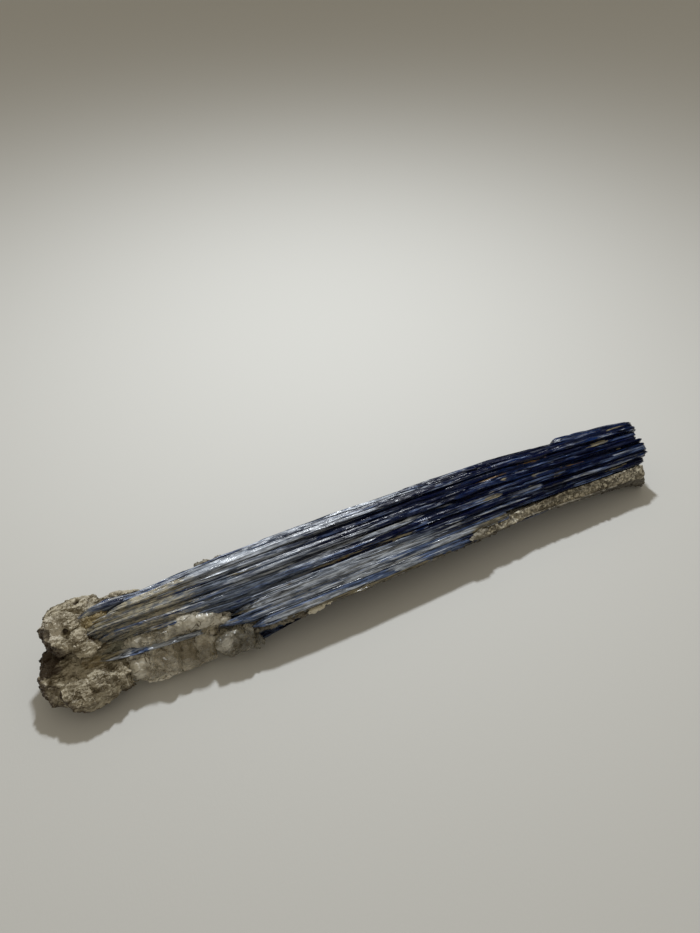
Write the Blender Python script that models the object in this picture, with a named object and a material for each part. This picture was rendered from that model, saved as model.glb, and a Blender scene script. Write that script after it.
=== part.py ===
"""Kyanite blade cluster: a bundle of parallel blades grown out of a lump of matrix.

The blades run along X. Their sections are cells of one bundle section, which is given at a few stations
along X, so neighbours share a wall and keep a small gap to it. Lengths are in millimetres up to `metres`.
"""
import math
import random

import bmesh
import bpy
import numpy as np
from mathutils import Vector

MM = 0.001
GAP = 0.3                 # clearance between two crystals that touch
SOCKET = 0.3              # clearance between a crystal and the matrix around it
TABLE = -GAP / 2          # height that a crystal's inset brings to Z = 0
RING_PLACES = (-92.0, -70.0, -45.0, -20.0, 7.0, 34.0, 60.0, 92.0, 125.0)   # shared by all blades

# The bundle's section: (Y, Z) of each outline, from the back of the bundle to its front, at stations along X.
CREST = {                 # top of the upper row
    -115: [(14.0, 32.6), (10.0, 32.0), (4.0, 27.5), (-0.5, 23.0), (-3.5, 19.5)],
    -70: [(18.2, 33.2), (12.6, 32.4), (3.0, 27.6), (-4.0, 22.0), (-11.0, 16.4)],
    -20: [(19.6, 33.0), (13.6, 32.2), (1.5, 27.2), (-5.0, 22.0), (-11.0, 16.2)],
    60: [(20.0, 32.0), (14.6, 31.2), (3.5, 25.8), (-2.6, 20.6), (-8.0, 15.0)],
    125: [(16.0, 30.0), (11.6, 29.2), (2.6, 24.6), (-2.6, 19.4), (-6.8, 13.0)],
    150: [(14.6, 29.3), (10.4, 28.5), (2.1, 24.1), (-2.8, 18.9), (-6.4, 12.3)],
}
PARTING = {               # between the upper row and the middle blades
    -115: [(16.0, 20.0), (9.0, 18.0), (3.0, 15.5), (-1.0, 14.0)],
    -70: [(20.2, 19.6), (12.0, 18.0), (1.0, 15.4), (-9.0, 12.2)],
    -20: [(21.8, 19.5), (13.0, 18.2), (0.0, 15.8), (-8.8, 12.4)],
    60: [(21.5, 18.6), (13.0, 17.4), (1.9, 14.6), (-5.2, 11.3)],
    78: [(20.6, 18.3), (12.6, 17.1), (2.6, 14.5), (-3.6, 11.4)],
    125: [(18.0, 17.4), (11.0, 16.4), (1.4, 13.6), (-4.8, 9.9)],
    150: [(16.6, 16.8), (10.0, 15.8), (0.6, 13.2), (-5.0, 9.0)],
}
FLOOR = {                 # between the middle blades and the lowest row
    -115: [(17.0, 10.5), (8.0, 9.0), (-4.0, 8.4)],
    -70: [(21.6, 10.4), (8.0, 9.0), (-7.4, 8.6)],
    -20: [(23.0, 10.5), (8.0, 8.8), (-5.4, 8.2)],
    60: [(22.6, 9.8), (8.0, 8.4), (-2.7, 7.6)],
    78: [(21.8, 9.6), (8.0, 8.3), (-1.3, 7.4)],
    125: [(19.0, 9.0), (7.0, 8.0), (-2.2, 6.9)],
    150: [(17.6, 8.6), (6.4, 7.6), (-1.8, 6.4)],
}
BASE = {                  # underside of the lowest row
    -115: [(16.0, 2.4), (6.0, 1.6), (-3.0, 2.6)],
    -70: [(19.0, 2.0), (6.0, 1.2), (-3.6, 2.6)],
    -20: [(19.4, 1.2), (6.0, 0.5), (0.0, 1.2)],
    40: [(18.6, TABLE), (6.2, TABLE), (1.8, TABLE)],
    78: [(17.6, TABLE), (7.6, TABLE), (3.9, TABLE)],
    125: [(16.0, TABLE), (5.8, TABLE), (1.8, TABLE)],
    150: [(15.0, TABLE), (4.6, TABLE), (-0.4, TABLE)],
}
SEAM = 1.7                          # thickness of the tan layer under the front blades
SEAM_ENDS = (-66.0, 36.0)
SEAM_SHARES = (0.765, 0.875, 1.0)   # shares across the bundle of that layer's corners

NAVY = (0.020, 0.028, 0.075)
SLATE = (0.090, 0.105, 0.140)
SILVER = (0.360, 0.380, 0.420)
PERIWINKLE = (0.190, 0.240, 0.400)

# Upper row: name, share of the way across where it begins and ends, left and right end,
# lift of its top over the crest, length of its pointed left end, and colour.
UPPER = [
    ("top_blade_1", 0.000, 0.090, -111.0, 141.0, 0.00, 6.0, SILVER),
    ("top_blade_2", 0.090, 0.175, -126.0, 141.8, 0.03, 14.0, PERIWINKLE),
    ("top_blade_3", 0.175, 0.260, -132.0, 140.2, -0.04, 12.0, NAVY),
    ("top_blade_4", 0.260, 0.340, -134.0, 139.8, -0.02, 12.0, NAVY),
    ("top_blade_5", 0.340, 0.395, -131.0, 141.6, 0.06, 10.0, SLATE),
    ("top_blade_6", 0.395, 0.475, -129.0, 142.0, -0.03, 12.0, SLATE),
    ("top_blade_7", 0.475, 0.555, -126.0, 142.8, 0.02, 10.0, NAVY),
    ("top_blade_8", 0.555, 0.610, -121.0, 143.0, -0.03, 12.0, SLATE),
    ("top_blade_9", 0.610, 0.660, -115.0, 141.4, 0.04, 12.0, SLATE),
    ("top_blade_10", 0.660, 0.765, -73.0, 138.4, 0.03, 12.0, SILVER),
    ("front_blade_1", 0.765, 0.875, -79.0, 58.0, 0.04, 13.0, PERIWINKLE),
    ("front_blade_2", 0.875, 1.000, -67.0, 40.0, 0.00, 8.0, PERIWINKLE),
]
TIP_SIZE = 0.30           # size of a pointed end's last ring, against the full section
BROKEN_SIZE = 0.86        # size of a broken end's last ring
BROKEN_LENGTH = 1.6       # how far a broken end's edge is worn back

# Lower blades: name, the two outlines they lie between, shares across, ends and colour.
LOWER = [
    ("middle_blade_back", PARTING, FLOOR, 0.00, 0.49, -100.0, 141.4, SLATE),
    ("under_blade_1", FLOOR, BASE, 0.00, 0.26, -93.0, 139.2, SLATE),
    ("under_blade_2", FLOOR, BASE, 0.26, 0.52, -86.0, 142.4, NAVY),
    ("under_blade_3", FLOOR, BASE, 0.52, 0.77, -75.0, 140.6, SLATE),
    ("under_blade_4", FLOOR, BASE, 0.77, 1.00, -59.0, 141.8, NAVY),
]

REAR_START, REAR_END = 95.5, 142.6          # the rear blade behind the right half
REAR_DEPTHS = (3.8, 4.6, 2.4)               # at its left end, a third of the way along, and its right end
REAR_TOP_LEFT, REAR_TOP_RIGHT = 30.4, 28.9
REAR_HEIGHT = 15.0
REAR_SLOPE = 1.6                            # how much lower the outer edge of its top is
REAR_RISE = 1.5                             # how much higher the outer edge of its underside is

TROUGH_ENDS = (-124.0, -118.0, -104.0)      # where the head leaves the blades uncovered
THIN_ENDS = (-126.0, -84.0)                 # thin blade frozen into the quartz
THIN_MIDDLE = [(-0.3, 18.2), (-3.2, 18.0)]  # (Y, Z) of its middle at each end
THIN_WIDTH, THIN_DEPTH = 1.7, 6.0
THIN_SHOWING = 0.6                          # how far its thinner bare edge stands out of the quartz
THIN_EDGE = 0.6                             # thickness of that edge, against its full thickness
THIN_TILT = 35.0                            # degrees down from the bare edge to the rear one

MIDDLE_SHARES = (0.49, 0.52)                # where the middle blades meet, above and below
BUNDLE_ENDS = (-116.0, -92.0, -74.0)        # where upper blades pass over the quartz
BUNDLE_SHARES = (0.34, 0.50, 0.66)          # shares across of those blades
BUNDLE_ROOM = 1.2                           # room above them for their lifted tops
TROUGH_SHARES = (0.09, 0.66)                # shares across of the blades that lie bare in the head's trough

WHITE_MICA = (0.62, 0.57, 0.49)
SMOKY = (0.42, 0.38, 0.31)
CLEAR_GREY = (0.47, 0.46, 0.43)
TAN = (0.46, 0.38, 0.26)
GRANULAR = (0.50, 0.46, 0.39)


def along(stations, x):
    """Outline at x, read between the stations."""
    keys = sorted(stations)
    count = len(stations[keys[0]])
    return [Vector((np.interp(x, keys, [stations[k][i][0] for k in keys]),
                    np.interp(x, keys, [stations[k][i][1] for k in keys]))) for i in range(count)]


def across(line, share):
    """Point at a share of the length of an outline."""
    lengths = [0.0]
    for a, b in zip(line, line[1:]):
        lengths.append(lengths[-1] + (b - a).length)
    target = share * lengths[-1]
    return Vector((np.interp(target, lengths, [p.x for p in line]),
                   np.interp(target, lengths, [p.y for p in line])))


def inset(polygon, distance):
    """Move every side of a counter-clockwise polygon inwards; a negative distance grows it."""
    count = len(polygon)
    lines = []
    for i in range(count):
        a, b = polygon[i], polygon[(i + 1) % count]
        side = (b - a).normalized()
        lines.append((a + Vector((-side.y, side.x)) * distance, side))
    corners = []
    for i in range(count):
        (p, u), (q, v) = lines[i - 1], lines[i]
        turn = u.cross(v)
        if abs(turn) < 1e-4:
            corners.append(q)
        else:
            corners.append(p + u * ((q - p).cross(v) / turn))
    return corners


def counter_clockwise(polygon):
    area = sum(a.cross(b) for a, b in zip(polygon, polygon[1:] + polygon[:1]))
    return polygon if area > 0 else polygon[::-1]


def shrink(polygon, size, anchor):
    return [anchor + (p - anchor) * size for p in polygon]


def material(name, colour, roughness=0.45):
    made = bpy.data.materials.new(name)
    made.use_nodes = True
    shader = made.node_tree.nodes["Principled BSDF"]
    shader.inputs["Base Color"].default_value = (*colour, 1.0)
    shader.inputs["Roughness"].default_value = roughness
    shader.inputs["Metallic"].default_value = 0.0
    made.diffuse_color = (*colour, 1.0)
    return made


def loft(name, rings, colour=None, roughness=0.45):
    """Closed solid through rings of (x, [(y, z), ...]); x may be one number or one for each point."""
    mesh = bmesh.new()
    loops = []
    for x, polygon in rings:
        places = x if isinstance(x, (list, tuple)) else [x] * len(polygon)
        loops.append([mesh.verts.new((px * MM, p[0] * MM, p[1] * MM)) for px, p in zip(places, polygon)])
    for first, second in zip(loops, loops[1:]):
        for i in range(len(first)):
            j = (i + 1) % len(first)
            mesh.faces.new((first[i], first[j], second[j], second[i]))
    mesh.faces.new(loops[0][::-1])
    mesh.faces.new(loops[-1])
    bmesh.ops.recalc_face_normals(mesh, faces=mesh.faces)
    bmesh.ops.triangulate(mesh, faces=mesh.faces)
    data = bpy.data.meshes.new(name)
    mesh.to_mesh(data)
    mesh.free()
    made = bpy.data.objects.new(name, data)
    bpy.context.scene.collection.objects.link(made)
    if colour:
        data.materials.append(material(name, colour, roughness))
    return made


def stops(start, end):
    """Places of a blade's rings between its ends; neighbours share them, so their walls stay parallel."""
    return [x for x in RING_PLACES if start + 1.0 < x < end - 1.0]


def seam_top(x, share):
    """Point on the wall between two front blades, as far above the parting as the tan layer is thick."""
    top, low = across(along(CREST, x), share), across(along(PARTING, x), share)
    return low + (top - low).normalized() * SEAM


def upper_cell(x, begin, end, lift):
    """Section of one blade of the upper row, from its top corners down to the parting."""
    crest, parting = along(CREST, x), along(PARTING, x)
    top_back, top_front = across(crest, begin), across(crest, end)
    low_back, low_front = across(parting, begin), across(parting, end)
    if begin >= SEAM_SHARES[0]:
        low_back, low_front = seam_top(x, begin), seam_top(x, end)
    top_back = top_back + (top_back - low_back) * lift
    top_front = top_front + (top_front - low_front) * lift
    return counter_clockwise([top_back, top_front, low_front, low_back])


def lower_cell(x, top, bottom, begin, end):
    """Section of one blade of the lowest row."""
    above, below = along(top, x), along(bottom, x)
    return counter_clockwise([across(above, begin), across(above, end),
                              across(below, end), across(below, begin)])


def blade_rings(cell, start, end, tip_length, margin):
    """Rings of a blade with a pointed left end and a broken right end, inset by the margin."""
    spare = GAP / 2 - margin
    rings = []
    for x, size in ((start - spare, TIP_SIZE), (start + tip_length, 1.0)):
        polygon = cell(x)
        anchor = sum(polygon, Vector((0.0, 0.0))) / len(polygon)
        rings.append((x, inset(shrink(polygon, size, anchor), margin if size == 1.0 else min(margin, 0.0))))
    for x in stops(start + tip_length, end - BROKEN_LENGTH) + [end - BROKEN_LENGTH]:
        rings.append((x, inset(cell(x), margin)))
    polygon = inset(cell(end + spare), margin)
    anchor = sum(polygon, Vector((0.0, 0.0))) / len(polygon)
    rings.append((end + spare, shrink(polygon, BROKEN_SIZE, anchor)))
    return rings


def middle_front_cell(x):
    """Section of the front middle blade; its left end has a shoulder that stands out in front."""
    above, below = along(PARTING, x), along(FLOOR, x)
    shoulder = {-80: [(-3.0, 13.0), (-2.0, 9.0)], -68: [(-4.6, 12.6), (-3.6, 8.8)],
                -64: [(-9.2, 11.4), (-7.6, 8.8)], -20: [(-8.6, 12.2), (-5.4, 8.2)],
                60: [(-4.8, 11.1), (-2.5, 7.7)], 78: [(-3.2, 11.0), (-1.1, 7.5)],
                125: [(-3.4, 9.9), (-2.0, 7.0)], 150: [(-2.6, 9.4), (-1.8, 6.5)]}
    front = along(shoulder, x)
    return counter_clockwise([across(above, MIDDLE_SHARES[0]), *front, across(below, MIDDLE_SHARES[1])])


def middle_back_cell(x):
    """Section of the middle blade behind the one that shows at the front."""
    above, below = along(PARTING, x), along(FLOOR, x)
    return counter_clockwise([above[0], across(above, MIDDLE_SHARES[0]),
                              across(below, MIDDLE_SHARES[1]), below[0]])


def seam_cell(x):
    """Section of the tan layer: the strip of the parting under the front blades."""
    low = [across(along(PARTING, x), share) for share in SEAM_SHARES]
    high = [seam_top(x, share) for share in SEAM_SHARES]
    return counter_clockwise(high + low[::-1])


def rear_cell(x):
    """Section of the rear blade, which leans on the back of the first top blade."""
    share = (x - REAR_START) / (REAR_END - REAR_START)
    depth = np.interp(share, (0.0, 0.33, 1.0), REAR_DEPTHS)
    top = REAR_TOP_LEFT + (REAR_TOP_RIGHT - REAR_TOP_LEFT) * share
    high, low = along(CREST, x)[0], along(PARTING, x)[0]
    lean = (low.x - high.x) / (low.y - high.y)
    inner_top = Vector((high.x + (top - high.y) * lean, top))
    inner_low = Vector((high.x + (top - REAR_HEIGHT - high.y) * lean, top - REAR_HEIGHT))
    return counter_clockwise([inner_top, inner_low, inner_low + Vector((depth / 2, REAR_RISE)),
                              inner_top + Vector((depth, -REAR_SLOPE))])


def thin_cell(x):
    share = (x - THIN_ENDS[0]) / (THIN_ENDS[1] - THIN_ENDS[0])
    front, rear = Vector(THIN_MIDDLE[0]), Vector(THIN_MIDDLE[1])
    middle = front + (rear - front) * share
    into = Vector((math.cos(math.radians(THIN_TILT)), -math.sin(math.radians(THIN_TILT))))
    up = Vector((-into.y, into.x)) * THIN_WIDTH / 2
    bare, buried = middle - into * THIN_SHOWING, middle + into * THIN_DEPTH
    return counter_clockwise([bare + up * THIN_EDGE, bare - up * THIN_EDGE, buried - up, buried + up])


def bundle_cell(x):
    """Envelope of the upper blades that pass over the quartz, with room for their lifted tops."""
    crest, parting = along(CREST, x), along(PARTING, x)
    top = [across(crest, share) + Vector((0.0, BUNDLE_ROOM)) for share in BUNDLE_SHARES]
    return counter_clockwise(top + [across(parting, BUNDLE_SHARES[-1]), across(parting, BUNDLE_SHARES[0])])


def trough_cell(x):
    """Open trough in the top of the head, in which the upper blades lie uncovered."""
    crest, parting = along(CREST, x), along(PARTING, x)
    low_back, low_front = [across(parting, share) for share in TROUGH_SHARES]
    top_back, top_front = [across(crest, share) for share in TROUGH_SHARES]
    return counter_clockwise([low_back, top_back, top_back + Vector((0.0, 9.0)),
                              top_front + Vector((-6.0, 12.0)), top_front, low_front])


def crystals():
    """Name, section function, ends, length of the pointed end and colour of every blade."""
    found = []
    for name, begin, end, left, right, lift, tip, colour in UPPER:
        found.append((name, lambda x, b=begin, e=end, h=lift: upper_cell(x, b, e, h), left, right, tip, colour))
    for name, top, bottom, begin, end, left, right, colour in LOWER:
        if top is PARTING:
            cell = middle_back_cell
        else:
            def cell(x, t=top, b=bottom, s=begin, e=end):
                return lower_cell(x, t, b, s, e)
        found.append((name, cell, left, right, 8.0, colour))
    found.append(("middle_blade_front", middle_front_cell, -77.0, 142.6, 6.0, NAVY))
    found.append(("rear_blade", rear_cell, REAR_START, REAR_END, 2.5, NAVY))
    found.append(("thin_blade", thin_cell, *THIN_ENDS, 12.0, SILVER))
    return found


def cutter(name, rings):
    """Solid that only cuts a socket, and isn't a piece of its own."""
    made = loft("cut_" + name, rings)
    made.hide_render = True
    made.display_type = "WIRE"
    return made


def carve(body, tools):
    """Cut the crystals' sockets out of a lump of matrix."""
    for tool in tools:
        cut = body.modifiers.new(tool.name, "BOOLEAN")
        cut.operation = "DIFFERENCE"
        cut.solver = "EXACT"
        cut.object = tool


def roughen(polygon, dice, amount):
    """Move a polygon's points at random by up to an amount, keeping those that rest on the table at Z = 0."""
    return [(y + dice.uniform(-amount, amount), z if z <= 0.0 else max(0.0, z + dice.uniform(-amount, amount)))
            for y, z in polygon]


def lump(name, outline, rings, colour, amount, seed, roughness=0.6):
    """Rough lump of matrix: one outline, resized about a centre for each ring along X."""
    dice = random.Random(seed)
    loops = []
    for x, centre_y, centre_z, wide, high in rings:
        polygon = [(centre_y + y * wide, max(0.0, centre_z + z * high)) for y, z in outline]
        loops.append((x, roughen(polygon, dice, amount)))
    return loft(name, loops, colour, roughness)


def bounds(objects):
    graph = bpy.context.evaluated_depsgraph_get()
    points = []
    for item in objects:
        mesh = item.evaluated_get(graph).to_mesh()
        points += [item.matrix_world @ v.co for v in mesh.vertices]
    return ([min(p[i] for p in points) for i in range(3)], [max(p[i] for p in points) for i in range(3)])


def build():
    for item in list(bpy.data.objects):
        bpy.data.objects.remove(item, do_unlink=True)

    pieces, tools = {}, {}
    for name, cell, left, right, tip, colour in crystals():
        pieces[name] = loft(name, blade_rings(cell, left, right, tip, GAP / 2), colour)
        tools[name] = cutter(name, blade_rings(cell, left, right, tip, GAP / 2 - SOCKET))

    seam_stops = [SEAM_ENDS[0]] + stops(*SEAM_ENDS) + [SEAM_ENDS[1]]
    seam = [(x, inset(seam_cell(x), GAP / 2)) for x in seam_stops]
    pieces["seam_layer"] = loft("seam_layer", seam, TAN, 0.8)
    seam_stops = [SEAM_ENDS[0] - SOCKET] + stops(*SEAM_ENDS) + [SEAM_ENDS[1] + SOCKET]
    seam_socket = [(x, inset(seam_cell(x), GAP / 2 - SOCKET)) for x in seam_stops]
    tools["seam_layer"] = cutter("seam_layer", seam_socket)

    # Head: two lobes with a groove between them, flat where it rests.
    head = [(-14.5, -17.0), (-18.0, -13.0), (-20.0, -8.0), (-16.5, -2.0), (-9.0, 1.5), (-4.4, 3.0), (-3.8, 7.0),
            (-1.0, 12.0), (4.5, 16.6), (10.0, 18.6), (16.2, 17.2), (19.0, 11.0), (20.0, 1.0), (18.0, -9.0),
            (12.0, -17.0)]
    pieces["matrix_head"] = lump("matrix_head", head, [
        (-147.4, 8.0, 13.5, 0.30, 0.30), (-144.8, 7.0, 15.2, 0.62, 0.66), (-139.6, 5.6, 16.6, 0.88, 0.91),
        (-132.0, 5.0, 17.0, 1.00, 1.00), (-124.0, 4.6, 17.0, 1.00, 1.00), (-118.0, 4.2, 16.8, 0.92, 0.97),
        (-114.0, 4.0, 16.6, 0.82, 0.92)], WHITE_MICA, 0.5, 3, 0.75)

    # Smoky quartz in front of and under the blades, next to the head.
    mass = [(4.5, 26.5), (-1.5, 21.0), (-5.2, 14.5), (-9.0, 8.5), (-10.4, 4.6), (-7.0, 3.0),
            (3.0, 3.2), (5.6, 9.0), (6.5, 18.0)]
    pieces["quartz_mass"] = lump("quartz_mass", mass, [
        (-113.6, 0.0, 1.5, 0.94, 0.92), (-107.0, 0.0, 0.2, 1.00, 0.99), (-100.0, 0.0, 0.2, 1.00, 0.98),
        (-93.0, 0.0, -0.4, 1.02, 1.00), (-87.0, -0.2, 0.0, 1.00, 0.97), (-80.8, 0.0, 0.6, 0.96, 0.92)],
        SMOKY, 0.35, 11, 0.2)

    # Clear-grey knob under the tip of the first front blade.
    knob = [(-5.6, 17.5), (-8.4, 16.6), (-12.0, 12.4), (-13.2, 8.0), (-11.4, 5.2), (-7.0, 4.6), (-4.2, 8.0),
            (-3.8, 14.0)]
    pieces["quartz_knob"] = lump("quartz_knob", knob, [
        (-80.2, -0.8, 1.0, 0.90, 0.86), (-76.0, 0.0, 0.0, 1.00, 1.00), (-70.0, 0.0, 0.2, 1.00, 1.00),
        (-66.4, -0.8, 0.6, 0.93, 0.95), (-64.6, -2.2, 2.2, 0.74, 0.76)], CLEAR_GREY, 0.35, 23, 0.2)

    # Granular strip along the lower front edge, from the yellow crust to the right end.
    strip = [(38.0, [(-7.4, 15.6), (-8.0, 14.2), (-7.4, 13.0), (-6.6, 12.6), (-5.4, 13.0), (-5.2, 14.2)]),
             (50.0, [(-4.6, 18.4), (-7.6, 15.2), (-6.6, 13.0), (-5.2, 11.6), (-2.0, 11.4), (-1.0, 16.0)]),
             (72.0, [(-3.7, 19.4), (-6.2, 15.2), (-5.2, 13.2), (-3.8, 11.8), (-0.6, 11.6), (0.2, 16.0)]),
             (98.0, [(-3.5, 19.0), (-6.6, 14.2), (-5.4, 11.6), (-4.0, 9.8), (-0.8, 9.6), (0.0, 15.0)]),
             (122.0, [(-3.6, 18.6), (-7.0, 13.0), (-5.4, 9.4), (-3.6, 6.4), (-0.8, 6.0), (-0.2, 14.0)]),
             (133.0, [(-3.6, 18.3), (-7.2, 12.4), (-5.4, 7.6), (-3.0, 3.4), (-0.6, 3.2), (-0.2, 13.8)]),
             ([136.6, 137.6, 140.0, 142.2, 142.2, 138.2],
              [(-3.7, 18.0), (-7.4, 12.0), (-6.2, 5.4), (-4.2, 0.8), (-0.8, 0.8), (-0.2, 13.6)])]
    dice = random.Random(31)
    strip_rings = [(x, roughen(polygon, dice, 0.3)) for x, polygon in strip]
    pieces["edge_matrix"] = loft("edge_matrix", strip_rings, GRANULAR, 0.85)

    tools["trough"] = cutter("trough", [(x, inset(trough_cell(x), GAP / 2 - SOCKET)) for x in TROUGH_ENDS])
    carve(pieces["matrix_head"], [tools[n] for n in tools if n.startswith(("top_blade", "thin", "trough"))])
    tools["bundle"] = cutter("bundle", [(x, inset(bundle_cell(x), GAP / 2 - SOCKET)) for x in BUNDLE_ENDS])
    carve(pieces["quartz_mass"], [tools["bundle"], tools["thin_blade"]])
    near_knob = ("front", "middle_blade_f", "top_blade_10", "under_blade_4", "seam")
    carve(pieces["quartz_knob"], [tools[n] for n in tools if n.startswith(near_knob)])
    carve(pieces["edge_matrix"], [tools[n] for n in tools
                                  if n.startswith(("front", "middle_blade_f", "top_blade_10", "under_blade_4",
                                                   "under_blade_3", "seam"))])

    bpy.context.view_layer.update()
    low, high = bounds(pieces.values())
    for item in list(pieces.values()) + list(tools.values()):
        item.location.x -= (low[0] + high[0]) / 2
        item.location.y -= (low[1] + high[1]) / 2


build()
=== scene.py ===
"""Looks of the kyanite blade cluster: finely lathed blades, crumbly matrix and broken quartz.

Lengths are in millimetres up to `metres`, X runs along the blades, Y to the back and Z up, as in the frame.
"""
import itertools
import math

import bmesh
import bpy
import numpy as np
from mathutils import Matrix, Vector


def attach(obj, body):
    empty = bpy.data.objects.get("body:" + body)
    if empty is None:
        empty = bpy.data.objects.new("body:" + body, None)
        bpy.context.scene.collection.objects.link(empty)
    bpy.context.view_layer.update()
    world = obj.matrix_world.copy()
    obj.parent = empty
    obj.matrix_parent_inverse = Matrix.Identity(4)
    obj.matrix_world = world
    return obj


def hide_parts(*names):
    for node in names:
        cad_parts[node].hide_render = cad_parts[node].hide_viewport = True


MM = 0.001
FINE = 0.35               # voxel of the remeshed lumps
STATION = 1.25            # spacing of a blade's stations along X
CLOSE_UP = 0.11           # how far a blade's side swells into the gap to its neighbour
NOSE_REACH = 8.0          # how far past its last place a nose still replaces the CAD rings
SIDES = ("top", "front", "bottom", "back")

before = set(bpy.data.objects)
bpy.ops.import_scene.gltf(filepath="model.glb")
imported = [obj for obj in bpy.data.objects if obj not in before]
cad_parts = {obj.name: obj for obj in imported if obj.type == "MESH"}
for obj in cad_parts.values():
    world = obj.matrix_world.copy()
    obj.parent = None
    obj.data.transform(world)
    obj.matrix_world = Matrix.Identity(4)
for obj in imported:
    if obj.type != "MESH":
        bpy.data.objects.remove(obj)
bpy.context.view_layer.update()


# ---------------------------------------------------------------- repeatable noise

def dice_at(seed, *cells):
    """A repeatable number from 0 to 1 for each whole-number cell."""
    key = np.full(np.broadcast(*cells).shape, seed * 7919 + 17, dtype=np.uint64)
    for cell in cells:
        key = (key ^ cell.astype(np.int64).astype(np.uint64)) * np.uint64(0x9E3779B97F4A7C15)
        key = key ^ (key >> np.uint64(29))
    return ((key * np.uint64(0xBF58476D1CE4E5B9)) >> np.uint64(40)).astype(float) / 2.0 ** 24


def noise(seed, *places):
    """Smooth noise from 0 to 1, with one array of places, counted in cells, for each direction."""
    places = np.broadcast_arrays(*places)
    whole = [np.floor(p) for p in places]
    part = [p - w for p, w in zip(places, whole)]
    part = [p * p * (3.0 - 2.0 * p) for p in part]
    total = 0.0
    for corner in itertools.product((0, 1), repeat=len(places)):
        weight = 1.0
        for step, p in zip(corner, part):
            weight = weight * (p if step else 1.0 - p)
        total = total + weight * dice_at(seed, *[w + step for w, step in zip(whole, corner)])
    return total


def rough_noise(seed, octaves, *places):
    """Noise with finer and finer detail, from 0 to 1."""
    total = sum(noise(seed + i, *[p * 2.0 ** i for p in places]) * 0.5 ** i for i in range(octaves))
    return total / (2.0 - 0.5 ** (octaves - 1))


def grains(points, size, seed):
    """Nearest grain of a random packing: distance to it and to the next one, its middle and its number."""
    cells = points / size
    base = np.floor(cells)
    nearest = np.full(len(points), 9.0)
    second = np.full(len(points), 9.0)
    middle = np.zeros_like(points)
    number = np.zeros(len(points))
    for step in itertools.product((-1, 0, 1), repeat=3):
        cell = base + np.array(step)
        spot = cell + np.stack([dice_at(seed + i, *cell.T) for i in range(3)], axis=1)
        gap = np.linalg.norm(spot - cells, axis=1)
        closer = gap < nearest
        second = np.where(closer, nearest, np.minimum(second, gap))
        nearest = np.where(closer, gap, nearest)
        middle[closer] = spot[closer]
        number[closer] = dice_at(seed + 7, *cell.T)[closer]
    return nearest, second, middle * size, number


def facets(points, size, seed):
    """Height of a surface broken into flat facets, one for each grain, about -0.5 to 0.5."""
    _, _, middle, number = grains(points, size, seed)
    tilt = np.stack([dice_at(seed + 11 + i, np.floor(number * 1e6)) - 0.5 for i in range(3)], axis=1)
    slope = ((points - middle) / size * tilt).sum(axis=1) * 1.6
    return slope + (dice_at(seed + 17, np.floor(number * 1e6)) - 0.5) * 0.7


def ease(value, low, high):
    """0 below low, 1 above high and smooth between."""
    share = np.clip((value - low) / (high - low), 0.0, 1.0)
    return share * share * (3.0 - 2.0 * share)


# ---------------------------------------------------------------- meshes

def new_piece(name, points, faces, material, attributes=None, sharp=30.0):
    """Mesh object in the frame, with points in millimetres."""
    mesh = bpy.data.meshes.new(name)
    mesh.from_pydata((np.asarray(points) * MM).tolist(), [], [tuple(f) for f in faces])
    mesh.validate()
    for key, values in (attributes or {}).items():
        layer = mesh.attributes.new(key, "FLOAT", "POINT")
        layer.data.foreach_set("value", np.asarray(values, dtype=np.float32))
    mesh.shade_smooth()
    mesh.set_sharp_from_angle(angle=math.radians(sharp))
    mesh.materials.append(material)
    piece = bpy.data.objects.new(name, mesh)
    bpy.context.scene.collection.objects.link(piece)
    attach(piece, "root")
    return piece


def cad_points(node):
    """A CAD node's points in millimetres, each one once."""
    mesh = bmesh.new()
    mesh.from_mesh(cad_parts[node].data)
    bmesh.ops.remove_doubles(mesh, verts=mesh.verts, dist=0.02 * MM)
    points = np.array([v.co[:] for v in mesh.verts]) / MM
    mesh.free()
    return points


NOSES = {                                 # rings drawn in place of a blade's own leftmost ones
    "top_blade_1": [(-125.5, (9.4, 32.6), (7.6, 32.2), (7.6, 29.0), (9.4, 29.0)),
                    (-114.0, (11.4, 33.0), (8.0, 32.5), (8.0, 27.0), (11.4, 27.0))],
    "middle_blade_front": [(-66.0, (-11.0, 10.5), (-15.4, 8.8), (-14.6, 6.4), (-11.0, 7.5)),
                           (-58.0, (-6.0, 12.5), (-15.3, 9.4), (-13.6, 6.0), (-6.0, 7.5)),
                           (-48.0, (0.0, 14.5), (-14.7, 10.8), (-12.2, 6.8), (1.0, 8.0)),
                           (-36.0, (1.5, 16.6), (-14.0, 11.9), (-11.0, 8.2), (2.8, 9.0))],
    "thin_blade": [(-125.0, (-2.0, 18.8), (-3.8, 18.2), (-3.4, 17.0), (-2.0, 17.0)),
                   (-119.0, (-2.8, 19.6), (-5.6, 18.5), (-5.0, 16.8), (-2.6, 16.8)),
                   (-110.0, (-4.6, 19.8), (-7.4, 18.7), (-6.6, 17.0), (-4.2, 16.8)),
                   (-92.0, (-7.4, 19.5), (-9.0, 18.8), (-8.2, 17.3), (-5.6, 16.8)),
                   (-83.5, (-8.4, 19.3), (-9.4, 18.8), (-8.8, 17.4), (-6.2, 17.0))],
}


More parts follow.
